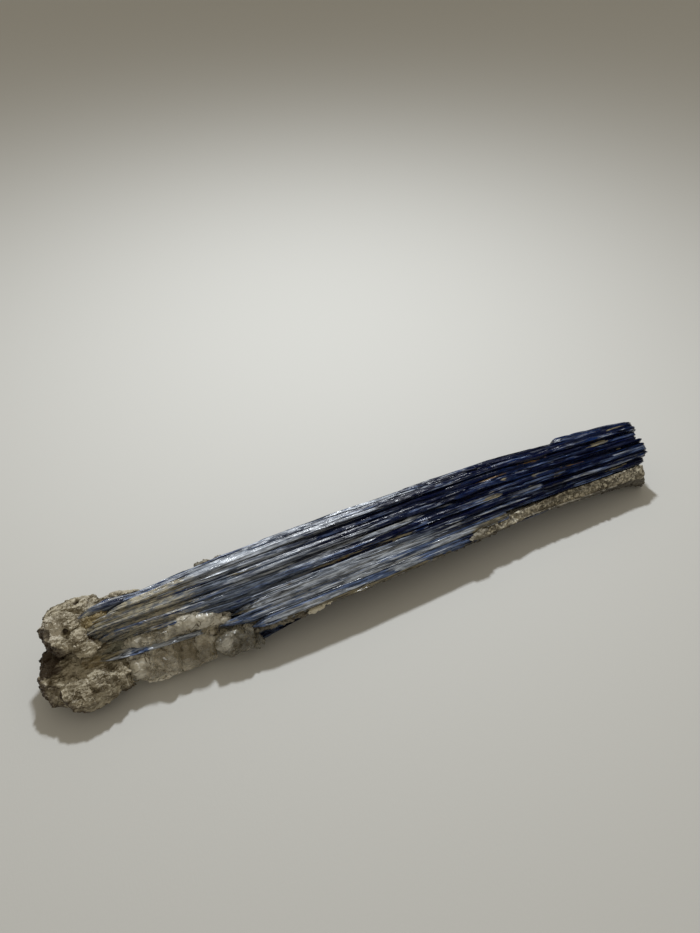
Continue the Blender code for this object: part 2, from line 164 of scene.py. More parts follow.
def cad_rings(node):
    """Places along X of a blade's rings and their corners: top back, top front, low front, low back."""
    points = cad_points(node)
    places = [nose[0] for nose in NOSES.get(node, [])]
    rings = [np.array(nose[1:]) for nose in NOSES.get(node, [])]
    points = points[points[:, 0] > (places[-1] + NOSE_REACH if places else -np.inf)]
    for x in sorted(set(points[:, 0].round(1))):
        corners = points[abs(points[:, 0] - x) < 0.15]
        corners = corners[np.argsort(-corners[:, 2])]
        top = corners[:2][np.argsort(-corners[:2, 1])]
        low = corners[2:][np.argsort(corners[2:, 1])]
        places.append(corners[:, 0].mean())
        rings.append(np.concatenate([top, low])[:, 1:])
    return np.array(places), np.array(rings)


# ---------------------------------------------------------------- blades

def levels(stations, seed, spacing, ramp=0.5):
    """A number from -1 to 1 that holds along X and then steps to another, as where a lath breaks off."""
    dice = np.random.default_rng(seed)
    place = stations[0] - dice.uniform(0.0, spacing)
    places = []
    values = []
    while place < stations[-1]:
        length = spacing * dice.uniform(0.25, 1.75)
        value = dice.uniform(-1.0, 1.0)
        places += [place + ramp, place + length]
        values += [value, value + dice.uniform(-0.3, 0.3)]
        place += length
    return np.interp(stations, places, values)


LATH = (0.0, 0.10, 0.50, 0.90)            # shares across one lath: its cleft, edge, middle and other edge
CLEFT = 0.27                              # depth of the deepest clefts between laths


def lathed(stations, count, width, height, seed):
    """Side made of long laths: shares across it, heights, tones and clefts, each stations by points."""
    edges = [np.zeros_like(stations)]
    for k in range(1, count):
        wander = rough_noise(seed + k, 2, stations / 34.0) - 0.5
        edges.append((k + 0.9 * wander) / count)
    edges.append(np.ones_like(stations))
    shares, heights, tones, clefts = [], [], [], []
    deepest = CLEFT * ease(width, 0.6, 1.8)
    before = None
    for k in range(count):
        rise = height * levels(stations, seed + 31 * k, 34.0)
        tilt = 0.36 * levels(stations, seed + 31 * k + 7, 26.0) * (edges[k + 1] - edges[k]) * width
        tone = 0.5 + 0.5 * levels(stations, seed + 31 * k + 13, 40.0, ramp=1.5)
        depth = deepest * ease(rough_noise(seed + 31 * k + 19, 2, stations / 22.0), 0.30, 0.75)
        if before is None:
            before = rise
        for share in LATH:
            shares.append(edges[k] + share * (edges[k + 1] - edges[k]))
            if share == 0.0:
                heights.append(np.minimum(rise, before) - depth)
            else:
                heights.append(rise + tilt * (share - 0.5))
            tones.append(tone)
            clefts.append((depth / CLEFT) * (share == 0.0))
        before = rise
    return [np.stack(item, axis=1) for item in (shares, heights, tones, clefts)]


def plain(stations, count):
    """Side with no laths, hidden between neighbours."""
    shares = np.tile(np.arange(count) / count, (len(stations), 1))
    return [shares, shares * 0.0, shares * 0.0 + 0.5, shares * 0.0]


def blade_stations(start, end):
    """Places of a blade's rings along X, close together at its broken right end."""
    inner = np.arange(start + 1.0, end - 5.0, STATION)
    return np.concatenate([[start, start + 0.4], inner, np.arange(inner[-1] + 0.6, end - 0.2, 0.55), [end]])


def stitch(rows, columns):
    """Faces of a tube of rows by columns points, closed at its ends by the two points after them."""
    faces = []
    for r in range(rows - 1):
        for c in range(columns):
            d = (c + 1) % columns
            faces.append((r * columns + c, r * columns + d, (r + 1) * columns + d, (r + 1) * columns + c))
    first, last = rows * columns, rows * columns + 1
    for c in range(columns):
        d = (c + 1) % columns
        faces.append((first, d, c))
        faces.append((last, (rows - 1) * columns + c, (rows - 1) * columns + d))
    return faces


def splinter(line, start, end, shares, width, rise):
    """Closed sliver that lies on a blade: its points, its faces and how far across each point lies."""
    steps = max(5, int((end - start) / 2.2))
    along = np.linspace(0.0, 1.0, steps)
    full = np.minimum(1.0, np.minimum((along / 0.22) ** 0.8, ((1.0 - along) / 0.35) ** 0.8) + 0.08)
    x = start + (end - start) * along
    edge, across, outward, span = line(x)
    middle = shares[0] + (shares[1] - shares[0]) * along
    rings = []
    for offset, lift in ((-1.0, -0.45), (-0.72, 1.0), (0.10, 1.12), (0.66, 0.86), (1.0, -0.45)):
        place = middle + offset * full * width / span
        height = np.where(lift > 0.0, lift * rise * (0.25 + 0.75 * full), lift)
        yz = edge + across * place[:, None] + outward * height[:, None]
        rings.append(np.concatenate([x[:, None], yz], axis=1))
    points = np.stack(rings, axis=1).reshape(-1, 3)
    columns = len(rings)
    tips = [points[:columns].mean(axis=0), points[-columns:].mean(axis=0)]
    place = np.append(np.repeat(middle, columns), middle[[0, -1]])
    return np.concatenate([points, tips]), stitch(steps, columns), place


def splinters(line, ends, width, count, seed):
    """Slivers left on top of a blade where its neighbours along X broke off."""
    dice = np.random.default_rng(seed)
    points, faces, shares, tones = [], [], [], []
    used = 0
    for _ in range(count):
        length = dice.uniform(9.0, 38.0)
        start = dice.uniform(ends[0] + 1.0, max(ends[0] + 2.0, ends[1] - length - 2.5))
        place = dice.uniform(0.12, 0.88)
        drift = dice.uniform(-0.020, 0.020) * length / width
        across = (place, np.clip(place + drift, 0.1, 0.9))
        made = splinter(line, start, min(start + length, ends[1] - 2.0), across,
                        dice.uniform(0.35, 1.05), dice.uniform(0.10, 0.45))
        points.append(made[0])
        faces += [tuple(used + i for i in face) for face in made[1]]
        shares.append(made[2])
        tones.append(np.full(len(made[0]), dice.uniform(0.0, 1.0)))
        used += len(made[0])
    return np.concatenate(points), faces, np.concatenate(shares), np.concatenate(tones)


def blade(name, seed, laths, height=0.26, wave=0.55, front=0, back=0, jag=1.3, tip=0.25, loose=0):
    """One blade: its CAD section swept along X, with its top and its bare sides split into laths."""
    places, rings = cad_rings(name)
    start, end = places[0], places[-1]
    stations = blade_stations(start, end)
    rows = len(stations)
    corners = np.stack([[np.interp(stations, places, rings[:, c, axis]) for axis in (0, 1)]
                        for c in range(4)])
    corners = corners.transpose(2, 0, 1)
    middle = corners.mean(axis=1)
    taper = tip + (1.0 - tip) * ease(stations - start, -1.5, 5.0)
    corners = middle[:, None] + (corners - middle[:, None]) * taper[:, None, None]
    size = [np.linalg.norm(corners[:, i] - corners[:, (i + 1) % 4], axis=1).max() for i in range(4)]

    sides = [lathed(stations, laths, size[0], height, seed),
             lathed(stations, front, size[1], 0.22, seed + 301) if front else plain(stations, 7),
             plain(stations, 3),
             lathed(stations, back, size[3], 0.22, seed + 601) if back else plain(stations, 7)]
    columns, walls = [], []
    for i, (shares, heights, tones, clefts) in enumerate(sides):
        a, b = corners[:, i], corners[:, (i + 1) % 4]
        line = b - a
        outward = np.stack([line[:, 1], -line[:, 0]], axis=1)
        outward /= np.maximum(np.linalg.norm(outward, axis=1), 1e-6)[:, None]
        across = shares * size[i]
        fibre = noise(seed + 50 + i, stations[:, None] / 9.0, across / 1.1) - 0.5
        if SIDES[i] == "top":
            top_drift = (rough_noise(seed + 60, 2, stations / 38.0) - 0.5) * 2.0 * wave
            edge = np.minimum(shares, 1.0 - shares) * size[0]
            out = heights + top_drift[:, None] - 0.30 * (1.0 - ease(edge, 0.0, 0.35))
        elif SIDES[i] == "bottom":
            out = heights
        else:
            bare = front if SIDES[i] == "front" else back
            out = heights * (1.0 if bare else 0.0) + CLOSE_UP + (0.20 if bare else 0.07) * fibre
        out = out * taper[:, None]
        columns.append(a[:, None] + line[:, None] * shares[:, :, None] + outward[:, None] * out[:, :, None])
        walls.append((tones, clefts, shares + i))
    section = np.concatenate(columns, axis=1)
    tones, clefts, around = [np.concatenate([w[j] for w in walls], axis=1) for j in range(3)]

    along = np.repeat(stations[:, None], section.shape[1], axis=1)
    ending = ease(stations - end, -6.0, -0.4)[:, None]
    blocky = noise(seed + 70, section[:, :, 0] / 0.9, section[:, :, 1] / 2.4)
    along = along - jag * ending * ease(blocky, 0.25, 0.8)
    points = np.stack([along, section[:, :, 0], section[:, :, 1]], axis=2).reshape(-1, 3)
    ends = [points[:section.shape[1]].mean(axis=0), points[-section.shape[1]:].mean(axis=0)]
    ends[0][0] -= 0.3
    ends[1][0] -= 0.4
    points = np.concatenate([points, ends])
    points[:, 2] = np.maximum(points[:, 2], 0.0)
    top_share = np.append(np.where(around < 1.0, around, np.where(around < 2.5, 1.0, 0.0)), [0.5, 0.5])
    tones = np.append(tones, [0.5, 0.5])
    clefts = np.append(clefts, [0.0, 0.0])
    faces = stitch(rows, section.shape[1])
    if loose:
        def line(x):
            """Top of the blade at x: its back edge, the way across, the way out and its width."""
            at = [np.stack([np.interp(x, stations, corners[:, c, axis]) for axis in (0, 1)], axis=1)
                  for c in (0, 1)]
            across = at[1] - at[0]
            outward = np.stack([across[:, 1], -across[:, 0]], axis=1)
            span = np.linalg.norm(across, axis=1)
            outward /= np.maximum(span, 1e-6)[:, None]
            rise = np.interp(x, stations, sides[0][1].mean(axis=1) + top_drift)
            return at[0] + outward * rise[:, None], across, outward, np.maximum(span, 0.3)

        more = splinters(line, (start, end), size[0], loose, seed + 5)
        faces += [tuple(len(points) + i for i in face) for face in more[1]]
        points = np.concatenate([points, more[0]])
        top_share = np.append(top_share, more[2])
        tones = np.append(tones, more[3])
        clefts = np.append(clefts, more[3] * 0.0)
    attributes = cover(name, points, top_share)
    attributes["tone"] = tones
    attributes["cleft"] = clefts
    piece = new_piece(name + "_laths", points, faces, KYANITE,
                      attributes, 38.0)
    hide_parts(name)
    return piece


# How much of a blade each streak colour covers along X: (X, silver, periwinkle, beige).
# The silver is partly painted highlight where the lamp glints, most of all on top_blade_2 from X -80 to -40.
COVER = {
    "top_blade_1": [(-112, .35, .25, .15), (-100, .30, .45, .0), (-88, .35, .30, .10), (-80, .55, .20, .05),
                    (-70, .45, .40, .0), (-10, .42, .40, .05), (20, .50, .40, .0), (50, .18, .40, .0),
                    (80, .03, .15, .0), (92, .08, .25, .0), (105, .03, .08, .0), (125, .06, .08, .12),
                    (145, .05, .08, .10)],
    "top_blade_2": [(-124, .30, .10, .50), (-112, .30, .35, .20), (-98, .30, .15, .60), (-88, .50, .10, .45),
                    (-80, .95, .10, .0), (-40, .95, .25, .0), (-20, .60, .50, .0), (0, .25, .35, .0),
                    (20, .10, .25, .0), (60, .05, .20, .0), (145, .15, .15, .0)],
    "top_blade_3": [(-130, .30, .0, .60), (-112, .30, .05, .45), (-98, .35, .0, .55), (-75, .60, .0, .20),
                    (-55, .50, .10, .0), (-40, .10, .10, .0), (0, .03, .10, .0), (145, .03, .08, .0)],
    "top_blade_4": [(-132, .30, .0, .60), (-105, .25, .05, .40), (-85, .30, .10, .20), (-60, .35, .15, .15),
                    (-40, .40, .10, .0), (-10, .35, .10, .10), (20, .25, .10, .05), (45, .15, .20, .0),
                    (70, .25, .35, .0), (145, .20, .30, .0)],
    "top_blade_5": [(-129, .25, .10, .20), (-100, .25, .10, .10), (-70, .35, .15, .0), (-35, .60, .15, .05),
                    (-10, .40, .15, .10), (10, .10, .15, .0), (145, .08, .20, .0)],
    "top_blade_6": [(-127, .25, .15, .15), (-95, .20, .35, .05), (-60, .25, .35, .0), (-35, .60, .15, .10),
                    (0, .45, .15, .10), (25, .15, .20, .05), (60, .08, .20, .0), (145, .10, .20, .0)],
    "top_blade_7": [(-124, .20, .15, .20), (-95, .15, .40, .10), (-60, .10, .40, .0), (-30, .15, .45, .05),
                    (-5, .15, .30, .10), (30, .08, .30, .05), (100, .08, .30, .05), (145, .20, .30, .05)],
    "top_blade_8": [(-119, .20, .10, .30), (-60, .20, .10, .30), (-20, .10, .10, .40), (5, .10, .10, .25),
                    (30, .10, .20, .05), (145, .10, .20, .05)],
    "top_blade_9": [(-113, .20, .10, .30), (-70, .10, .50, .10), (-45, .75, .50, .10), (-10, .85, .35, .05),
                    (15, .55, .35, .05), (60, .12, .30, .10), (145, .10, .25, .10)],
    "top_blade_10": [(-71, .50, .40, .30), (-50, .80, .70, .05), (-20, .95, .55, .0), (15, .75, .50, .0),
                     (50, .30, .45, .0), (80, .14, .40, .05), (120, .08, .40, .05), (141, .10, .35, .10)],
    "front_blade_1": [(-77, .25, 1.0, .0), (-62, .50, 1.1, .0), (-52, .80, 1.1, .0), (0, .72, 1.1, .0),
                      (30, .55, 1.1, .0), (58, .30, .50, .30)],
    "front_blade_2": [(-65, .45, 1.1, .0), (-45, .85, .95, .10), (-14, .60, 1.1, .0), (-4, .60, 1.1, .0),
                      (6, 1.0, .80, .0), (14, .60, 1.1, .0), (26, .60, 1.1, .0), (40, .50, .60, .30)],
    "middle_blade_front": [(-66, .40, .50, .10), (-40, .10, .40, .0), (145, .10, .20, .05)],
    "rear_blade": [(98, .50, .30, .30), (104, .10, .20, .08), (145, .02, .08, .06)],
    "thin_blade": [(-124, .60, .20, .50), (-113, .90, .30, .10), (-111, .10, .60, .0),
                   (-105, .10, .60, .0), (-102, 1.2, .20, .0), (-82, 1.2, .10, .0)],
}
# Blades that turn greyer to the left, and how strongly.
GREYER = {"thin_blade": 1.0, "top_blade_1": 0.45, "top_blade_9": 0.70, "top_blade_10": 0.70,
          "front_blade_1": 0.65, "front_blade_2": 0.65, "middle_blade_front": 0.30}
HIDDEN_COVER = [(-100, .10, .20, .10), (145, .10, .20, .05)]

# Spots: blade, colour, middle along X, half length, share across the top, half width as a share, strength.
SPOTS = [
    ("top_blade_9", "blue", -60, 12, .5, .4, 1.0), ("thin_blade", "blue", -107.5, 4, .5, 1.2, 1.2),
    ("top_blade_2", "blue", -29, 5, .85, .25, .9), ("top_blade_9", "ochre", -45, 3, .1, .3, 1.0),
    ("top_blade_8", "ochre", -20, 3, .5, .4, 1.0), ("top_blade_8", "beige", 4.5, 2, .6, .4, 1.0),
    # painted highlight: the silver spot on top_blade_4 stands where the lamp glints
    ("top_blade_4", "beige", -67, 5, .5, .3, .8), ("top_blade_4", "silver_and_glint", -42, 6, .55, .2, 1.0),
    ("top_blade_4", "ochre", 59, 9, .15, .2, 1.0), ("top_blade_3", "beige", 119, 9, .55, .4, 1.0),
    ("top_blade_3", "ochre", 86, 9, .35, .15, .7), ("top_blade_6", "ochre", 101, 11, .5, .15, .8),
    ("top_blade_6", "beige", 80.5, 2, .2, .3, .9), ("top_blade_6", "beige", 128, 3, .1, .3, .9),
    ("top_blade_6", "beige", 45, 12, .9, .3, .5), ("top_blade_7", "beige", 56, 5, .7, .3, 1.0),
    ("top_blade_7", "beige", 75.5, 2.5, .95, .3, 1.0), ("top_blade_7", "beige", 92, 5, .6, .3, .9),
    ("top_blade_10", "beige", 125, 10, .3, .15, .9), ("top_blade_10", "silver_and_glint", 93, 3, .8, .3, .9),
    ("top_blade_5", "beige", 64, 4, .2, .4, .8), ("top_blade_1", "beige", 131, 9, .6, .25, .9),
    # painted highlight: the silver spots on top_blade_3 and top_blade_2 stand where the lamp glints
    ("top_blade_2", "beige", -98, 8, .4, .4, .9), ("top_blade_3", "silver_and_glint", -56, 3, .1, .3, 1.0),
    ("front_blade_2", "beige", -8, 50, .96, .22, 1.3), ("top_blade_2", "silver_and_glint", -45, 14, .4, .6, 1.3),
    ("front_blade_1", "beige", 47, 10, .96, .24, 1.1),
]


def cover(name, points, share):
    """Coverage of each streak colour at a blade's points."""
    stops = COVER.get(name, HIDDEN_COVER)
    x = points[:, 0]
    found = {key: np.interp(x, [s[0] for s in stops], [s[i] for s in stops])
             for i, key in ((1, "silver_and_glint"), (2, "periwinkle"), (3, "beige"))}
    found["blue"] = 0.36 * ease(x, -20.0, 50.0) + 0.42 * (1.0 - ease(x, -65.0, -15.0))
    found["ochre"] = x * 0.0
    dusty = name.startswith("top_blade")
    thinning = (-139.0, -94.0) if name == "top_blade_1" else (-110.0, -48.0)
    found["dust"] = 0.86 * (1.0 - ease(x, *thinning)) if dusty else x * 0.0
    found["dust"] = found["dust"] + 0.5 * ease(x, 140.0, 144.0)
    found["grey"] = 0.80 * (1.0 - ease(x, -80.0, 10.0)) if dusty else x * 0.0
    if name in GREYER:
        found["grey"] = GREYER[name] * (1.0 - ease(x, -20.0, 80.0))
    for blade_name, key, middle, length, place, width, strength in SPOTS:
        if blade_name == name:
            reach = ((x - middle) / length) ** 2 + ((share - place) / width) ** 2
            reach = reach + 1.5 * (noise(int(abs(middle)) + 3, x / 1.7, share / 0.3) - 0.5)
            found[key] = np.maximum(found[key], 0.75 * strength * (1.0 - ease(reach, 0.2, 1.6)))
    return found


# ---------------------------------------------------------------- materials

class Shader:
    """Short calls that build one node material."""

    def __init__(self, name):
        self.material = bpy.data.materials.new(name)
        self.material.use_nodes = True
        self.tree = self.material.node_tree
        self.surface = self.tree.nodes["Principled BSDF"]
        self.output = self.tree.nodes["Material Output"]
        self.place = self.tree.nodes.new("ShaderNodeTexCoord").outputs["Object"]

    def add(self, kind, inputs=None, **settings):
        node = self.tree.nodes.new("ShaderNode" + kind)
        for key, value in settings.items():
            setattr(node, key, value)
        for key, value in (inputs or {}).items():
            self.put(node, key, value)
        return node

    def put(self, node, key, value):
        if isinstance(value, bpy.types.NodeSocket):
            self.tree.links.new(value, node.inputs[key])
        else:
            node.inputs[key].default_value = value

    def attribute(self, name):
        return self.add("Attribute", attribute_name=name).outputs["Fac"]

    def stretched(self, scale, shift):
        node = self.add("VectorMath", {0: self.place, 1: scale, 2: (shift, shift * 1.7, shift * 0.6)},
                        operation="MULTIPLY_ADD")
        return node.outputs["Vector"]

    def noise(self, scale, shift=0.0, detail=3.0, roughness=0.6, distortion=0.0):
        node = self.add("TexNoise", {"Vector": self.stretched(scale, shift), "Scale": 1.0, "Detail": detail,
                                     "Roughness": roughness, "Distortion": distortion})
        return node.outputs["Fac"]

    def cells(self, scale, shift=0.0, feature="F1", output="Distance"):
        node = self.add("TexVoronoi", {"Vector": self.stretched(scale, shift), "Scale": 1.0}, feature=feature)
        return node.outputs[output]

    def math(self, operation, a, b):
        return self.add("Math", {0: a, 1: b}, operation=operation).outputs[0]

    def span(self, value, low, high, to_low=0.0, to_high=1.0):
        node = self.add("MapRange", {"Value": value, "From Min": low, "From Max": high, "To Min": to_low,
                                     "To Max": to_high}, interpolation_type="SMOOTHSTEP")
        return node.outputs["Result"]

    def mix(self, share, a, b):
        node = self.add("Mix", {0: share, 6: a, 7: b}, data_type="RGBA")
        return node.outputs[2]

    def finish(self, colour, roughness, height, distance, strength=1.0, normal=None):
        self.put(self.surface, "Base Color", colour)
        self.put(self.surface, "Roughness", roughness)
        bump = self.add("Bump", {"Height": height, "Distance": distance * MM, "Strength": strength})
        if normal:
            self.put(bump, "Normal", normal)
        self.put(self.surface, "Normal", bump.outputs["Normal"])
        return self.material

    def flaky_normal(self, scale, amount):
        """The surface's normal, turned a little at random for each small flake."""
        turned = self.add("VectorMath", {0: self.cells(scale, output="Color"), 1: (amount,) * 3,
                                         2: (-amount / 2,) * 3}, operation="MULTIPLY_ADD").outputs["Vector"]
        facing = self.add("NewGeometry").outputs["Normal"]
        total = self.add("VectorMath", {0: facing, 1: turned}, operation="ADD").outputs["Vector"]
        return self.add("VectorMath", {0: total}, operation="NORMALIZE").outputs["Vector"]


def rgb(red, green, blue):
    """Opaque colour."""
    return (red, green, blue, 1.0)


def kyanite():
    """Bladed kyanite: navy to slate, with silver, periwinkle, beige and ochre streaks along X; the silver is
    partly painted highlight where the lamp glints, and the clefts between laths get painted shade.
    """
    s = Shader("kyanite")
    tone = s.math("MULTIPLY", s.math("SUBTRACT", s.attribute("tone"), 0.5), 0.34)

    def streaks(key, shift, soft=0.045):
        wide = s.noise((26.0, 620.0, 620.0), shift, 3.0, 0.6)
        fine = s.noise((80.0, 1700.0, 1700.0), shift + 3.1, 2.0)
        blotch = s.noise((80.0, 460.0, 460.0), shift + 5.3, 3.0, 0.65)
        lines = s.math("ADD", s.math("MULTIPLY", wide, 0.60), s.math("MULTIPLY", fine, 0.45))
        lines = s.math("ADD", lines, s.math("MULTIPLY", blotch, 0.35))
        reach = s.math("ADD", s.math("ADD", lines, tone), s.math("MULTIPLY", s.attribute(key), 0.46))
        return s.math("MINIMUM", s.span(reach, 0.95 - soft, 0.95 + soft),
                      s.math("MULTIPLY", s.attribute(key), 5.0))

    depth = s.math("ADD", s.noise((60.0, 800.0, 800.0), 7.3, 4.0, 0.7), tone)
    colour = s.mix(s.span(depth, 0.42, 0.76), rgb(0.0006, 0.0024, 0.028), rgb(0.009, 0.018, 0.060))
    dim = s.math("ADD", s.attribute("grey"), s.noise((70.0, 520.0, 520.0), 31.0, 3.0, 0.6))
    colour = s.mix(s.span(dim, 0.74, 1.12), colour, rgb(0.170, 0.205, 0.270))
    blue = streaks("blue", 1.9)
    colour = s.mix(blue, colour, rgb(0.007, 0.025, 0.108))
    colour = s.mix(streaks("periwinkle", 4.7), colour, rgb(0.115, 0.172, 0.330))
    # silver streaks, partly painted highlight where the lamp glints on the top blades
    silver_and_glint = streaks("silver_and_glint", 9.2)
    colour = s.mix(silver_and_glint, colour, rgb(0.480, 0.530, 0.610))
    colour = s.mix(streaks("beige", 13.6), colour, rgb(0.290, 0.255, 0.165))
    colour = s.mix(streaks("ochre", 17.1), colour, rgb(0.230, 0.125, 0.018))
    fibre = s.noise((24.0, 1250.0, 1250.0), 43.0, 3.0, 0.6)
    colour = s.mix(s.span(fibre, 0.44, 0.54, 0.36, 0.0), colour, rgb(0.002, 0.006, 0.028))
    grit = s.noise((210.0, 1400.0, 1400.0), 51.0, 2.0, 0.6)
    colour = s.mix(s.span(grit, 0.40, 0.55, 0.50, 0.0), colour, rgb(0.002, 0.006, 0.022))
    seam = s.math("SUBTRACT", s.noise((11.0, 560.0, 560.0), 37.0, 2.0, 0.5), 0.5)
    seam = s.span(s.add("Math", {0: seam}, operation="ABSOLUTE").outputs[0], 0.004, 0.022, 0.8, 0.0)
    colour = s.mix(seam, colour, rgb(0.001, 0.002, 0.008))
    # painted shade: the clefts between laths are darkened
    colour = s.mix(s.math("MULTIPLY", s.attribute("cleft"), 0.85), colour, rgb(0.001, 0.002, 0.008))
    dust = s.math("ADD", s.attribute("dust"), s.noise((170.0, 760.0, 760.0), 27.0, 4.0, 0.7))
    dust = s.math("SUBTRACT", dust, s.math("MULTIPLY", blue, 0.45))
    powder = s.mix(s.span(s.noise((420.0, 900.0, 900.0), 33.0, 3.0), 0.38, 0.62), rgb(0.175, 0.176, 0.168),
                   rgb(0.470, 0.430, 0.320))
    colour = s.mix(s.span(dust, 0.90, 1.22, 0.0, 0.88), colour, powder)
    fine = s.noise((260.0, 1500.0, 1500.0), 21.0, 4.0, 0.75)
    rough = s.math("ADD", s.span(s.noise((160.0, 900.0, 900.0), 25.0), 0.35, 0.65, 0.22, 0.42),
                   s.math("MULTIPLY", silver_and_glint, -0.07))
    s.surface.inputs["IOR"].default_value = 1.72
    s.surface.inputs["Specular IOR Level"].default_value = 0.45
    return s.finish(colour, rough, fine, 0.15, 1.0, s.flaky_normal((320.0, 1000.0, 1000.0), 0.25))


def mica_matrix():
    """Cream to tan micaceous matrix with glistening flakes and a few kyanite streaks; a dark brownish patch
    is partly stain and partly painted shade, and its hollows get painted shade.
    """
    s = Shader("mica_matrix")
    colour = s.mix(s.span(s.noise((110.0, 420.0, 420.0), 1.0, 5.0, 0.65), 0.36, 0.64),
                   rgb(0.105, 0.078, 0.038), rgb(0.470, 0.420, 0.310))
    colour = s.mix(s.span(s.noise((420.0, 1000.0, 1000.0), 3.0, 3.0), 0.52, 0.70), colour,
                   rgb(0.56, 0.51, 0.40))
    colour = s.mix(s.span(s.cells((420.0, 800.0, 800.0), 5.0), 0.02, 0.24), rgb(0.07, 0.048, 0.020), colour)

    def patch(key, shift, low, high, paint):
        ragged = s.math("MULTIPLY", s.noise((260.0, 600.0, 600.0), shift, 3.0), 0.7)
        reach = s.math("ADD", s.attribute(key), ragged)
        return s.mix(s.span(reach, low, high, 0.0, 0.84), colour, paint)

    colour = patch("pale", 12.0, 0.72, 1.10, rgb(0.68, 0.63, 0.53))
    colour = patch("tan", 10.0, 0.62, 1.05, rgb(0.25, 0.190, 0.085))
    # dark brownish patch, partly a real stain and partly painted shade
    colour = patch("brown_and_shade", 8.0, 0.60, 0.94, rgb(0.030, 0.011, 0.001))
    colour = patch("green", 14.0, 0.60, 1.00, rgb(0.24, 0.24, 0.19))
    lines = s.math("ADD", s.attribute("blue"), s.noise((60.0, 900.0, 900.0), 17.0, 3.0, 0.65))
    colour = s.mix(s.span(lines, 0.98, 1.16), colour, rgb(0.060, 0.080, 0.140))
    colour = s.mix(s.span(lines, 1.16, 1.34), colour, rgb(0.012, 0.026, 0.120))
    # painted shade in the hollows
    colour = s.mix(s.attribute("painted_hollow_shade"), colour, rgb(0.030, 0.016, 0.005))
    rough = s.span(s.noise((700.0,) * 3, 15.0), 0.35, 0.65, 0.28, 0.75)
    fine = s.noise((600.0, 1500.0, 1500.0), 18.0, 4.0, 0.7)
    return s.finish(colour, rough, fine, 0.35, 0.9, s.flaky_normal((900.0, 1400.0, 1400.0), 0.7))


def granular_matrix():
    """Grey to tan granular strip, like sandstone, with dark specks, pale grains with painted light on faces
    turned up, and painted shade between grains and on faces turned down.
    """
    s = Shader("granular_matrix")
    colour = s.mix(s.span(s.noise((160.0, 300.0, 300.0), 2.0, 5.0, 0.7), 0.36, 0.66),
                   rgb(0.092, 0.078, 0.056), rgb(0.320, 0.290, 0.225))
    grain = s.cells((1400.0,) * 3, 4.0, output="Color")
    colour = s.mix(s.span(grain, 0.60, 1.2), colour, rgb(0.34, 0.32, 0.27))
    colour = s.mix(s.span(s.noise((420.0, 900.0, 900.0), 9.0, 3.0), 0.60, 0.72), colour,
                   rgb(0.03, 0.028, 0.024))
    # pale grains, with painted light on faces turned up where the crust gives it
    pale = s.math("ADD", s.attribute("pale"), s.math("MULTIPLY", s.noise((500.0,) * 3, 12.0), 0.6))
    colour = s.mix(s.span(pale, 0.75, 1.1), colour, rgb(0.66, 0.62, 0.50))
    # painted shade between grains and on faces turned down
    colour = s.mix(s.attribute("painted_hollow_shade"), colour, rgb(0.030, 0.024, 0.018))
    fine = s.noise((1500.0,) * 3, 18.0, 4.0, 0.7)
    rough = s.span(s.noise((900.0,) * 3, 15.0), 0.35, 0.65, 0.5, 0.85)
    return s.finish(colour, rough, fine, 0.3, 0.9, s.flaky_normal((1600.0,) * 3, 0.35))


QUARTZ_IOR = 1.544


def quartz(name, tint, milky, absorbed, density, clear):
    """Broken quartz: see-through, milky in places, with absorption inside."""
    s = Shader(name)
    cloud = s.span(s.math("ADD", s.noise((105.0,) * 3, 2.0, 4.0, 0.55), s.attribute("milky")), 0.38, 0.66)
    colour = s.mix(cloud, tint, milky)
    crack = s.span(s.cells((210.0,) * 3, 3.0, "DISTANCE_TO_EDGE"), 0.0, 0.07, 1.0, 0.0)
    crack = s.math("MULTIPLY", crack, s.span(s.noise((260.0,) * 3, 8.0), 0.45, 0.62))
    colour = s.mix(s.span(s.noise((700.0,) * 3, 6.0, 3.0), 0.60, 0.72), colour, rgb(0.84, 0.82, 0.76))
    colour = s.mix(crack, colour, rgb(0.19, 0.16, 0.11))
    s.put(s.surface, "Transmission Weight", s.span(cloud, 0.0, 1.0, clear, clear * 0.48))
    s.surface.inputs["IOR"].default_value = QUARTZ_IOR
    volume = s.add("VolumeAbsorption", {"Color": absorbed, "Density": density})
    s.tree.links.new(volume.outputs["Volume"], s.output.inputs["Volume"])
    fine = s.noise((700.0,) * 3, 9.0, 4.0, 0.7)
    rough = s.span(s.noise((400.0,) * 3, 12.0), 0.35, 0.65, 0.04, 0.26)
    return s.finish(colour, rough, fine, 0.16, 0.9, s.flaky_normal((640.0,) * 3, 0.62))


KYANITE = kyanite()
MICA = mica_matrix()
GRANULAR = granular_matrix()
SMOKY = quartz("smoky_quartz", tint=rgb(0.76, 0.70, 0.56), milky=rgb(0.95, 0.91, 0.79),
               absorbed=rgb(0.74, 0.65, 0.48), density=42.0, clear=0.78)
CLEAR = quartz("clear_quartz", tint=rgb(0.54, 0.51, 0.43), milky=rgb(0.90, 0.87, 0.78),
               absorbed=rgb(0.72, 0.67, 0.52), density=60.0, clear=0.84)


# ---------------------------------------------------------------- lumps

def block(mesh, centre, radii, corners, dice):
    """Convex block with a random set of corners on an ellipsoid, added to a bmesh in millimetres."""
    added = []
    for _ in range(corners):
        place = dice.normal(size=3)
        place /= np.linalg.norm(place)
        place = place * np.array(radii) * dice.uniform(0.93, 1.07) + np.array(centre)
        added.append(mesh.verts.new(place))
    hull = bmesh.ops.convex_hull(mesh, input=added, use_existing_faces=False)
    unused = set(hull["geom_interior"] + hull["geom_unused"])
    bmesh.ops.delete(mesh, geom=[v for v in unused if isinstance(v, bmesh.types.BMVert)], context="VERTS")


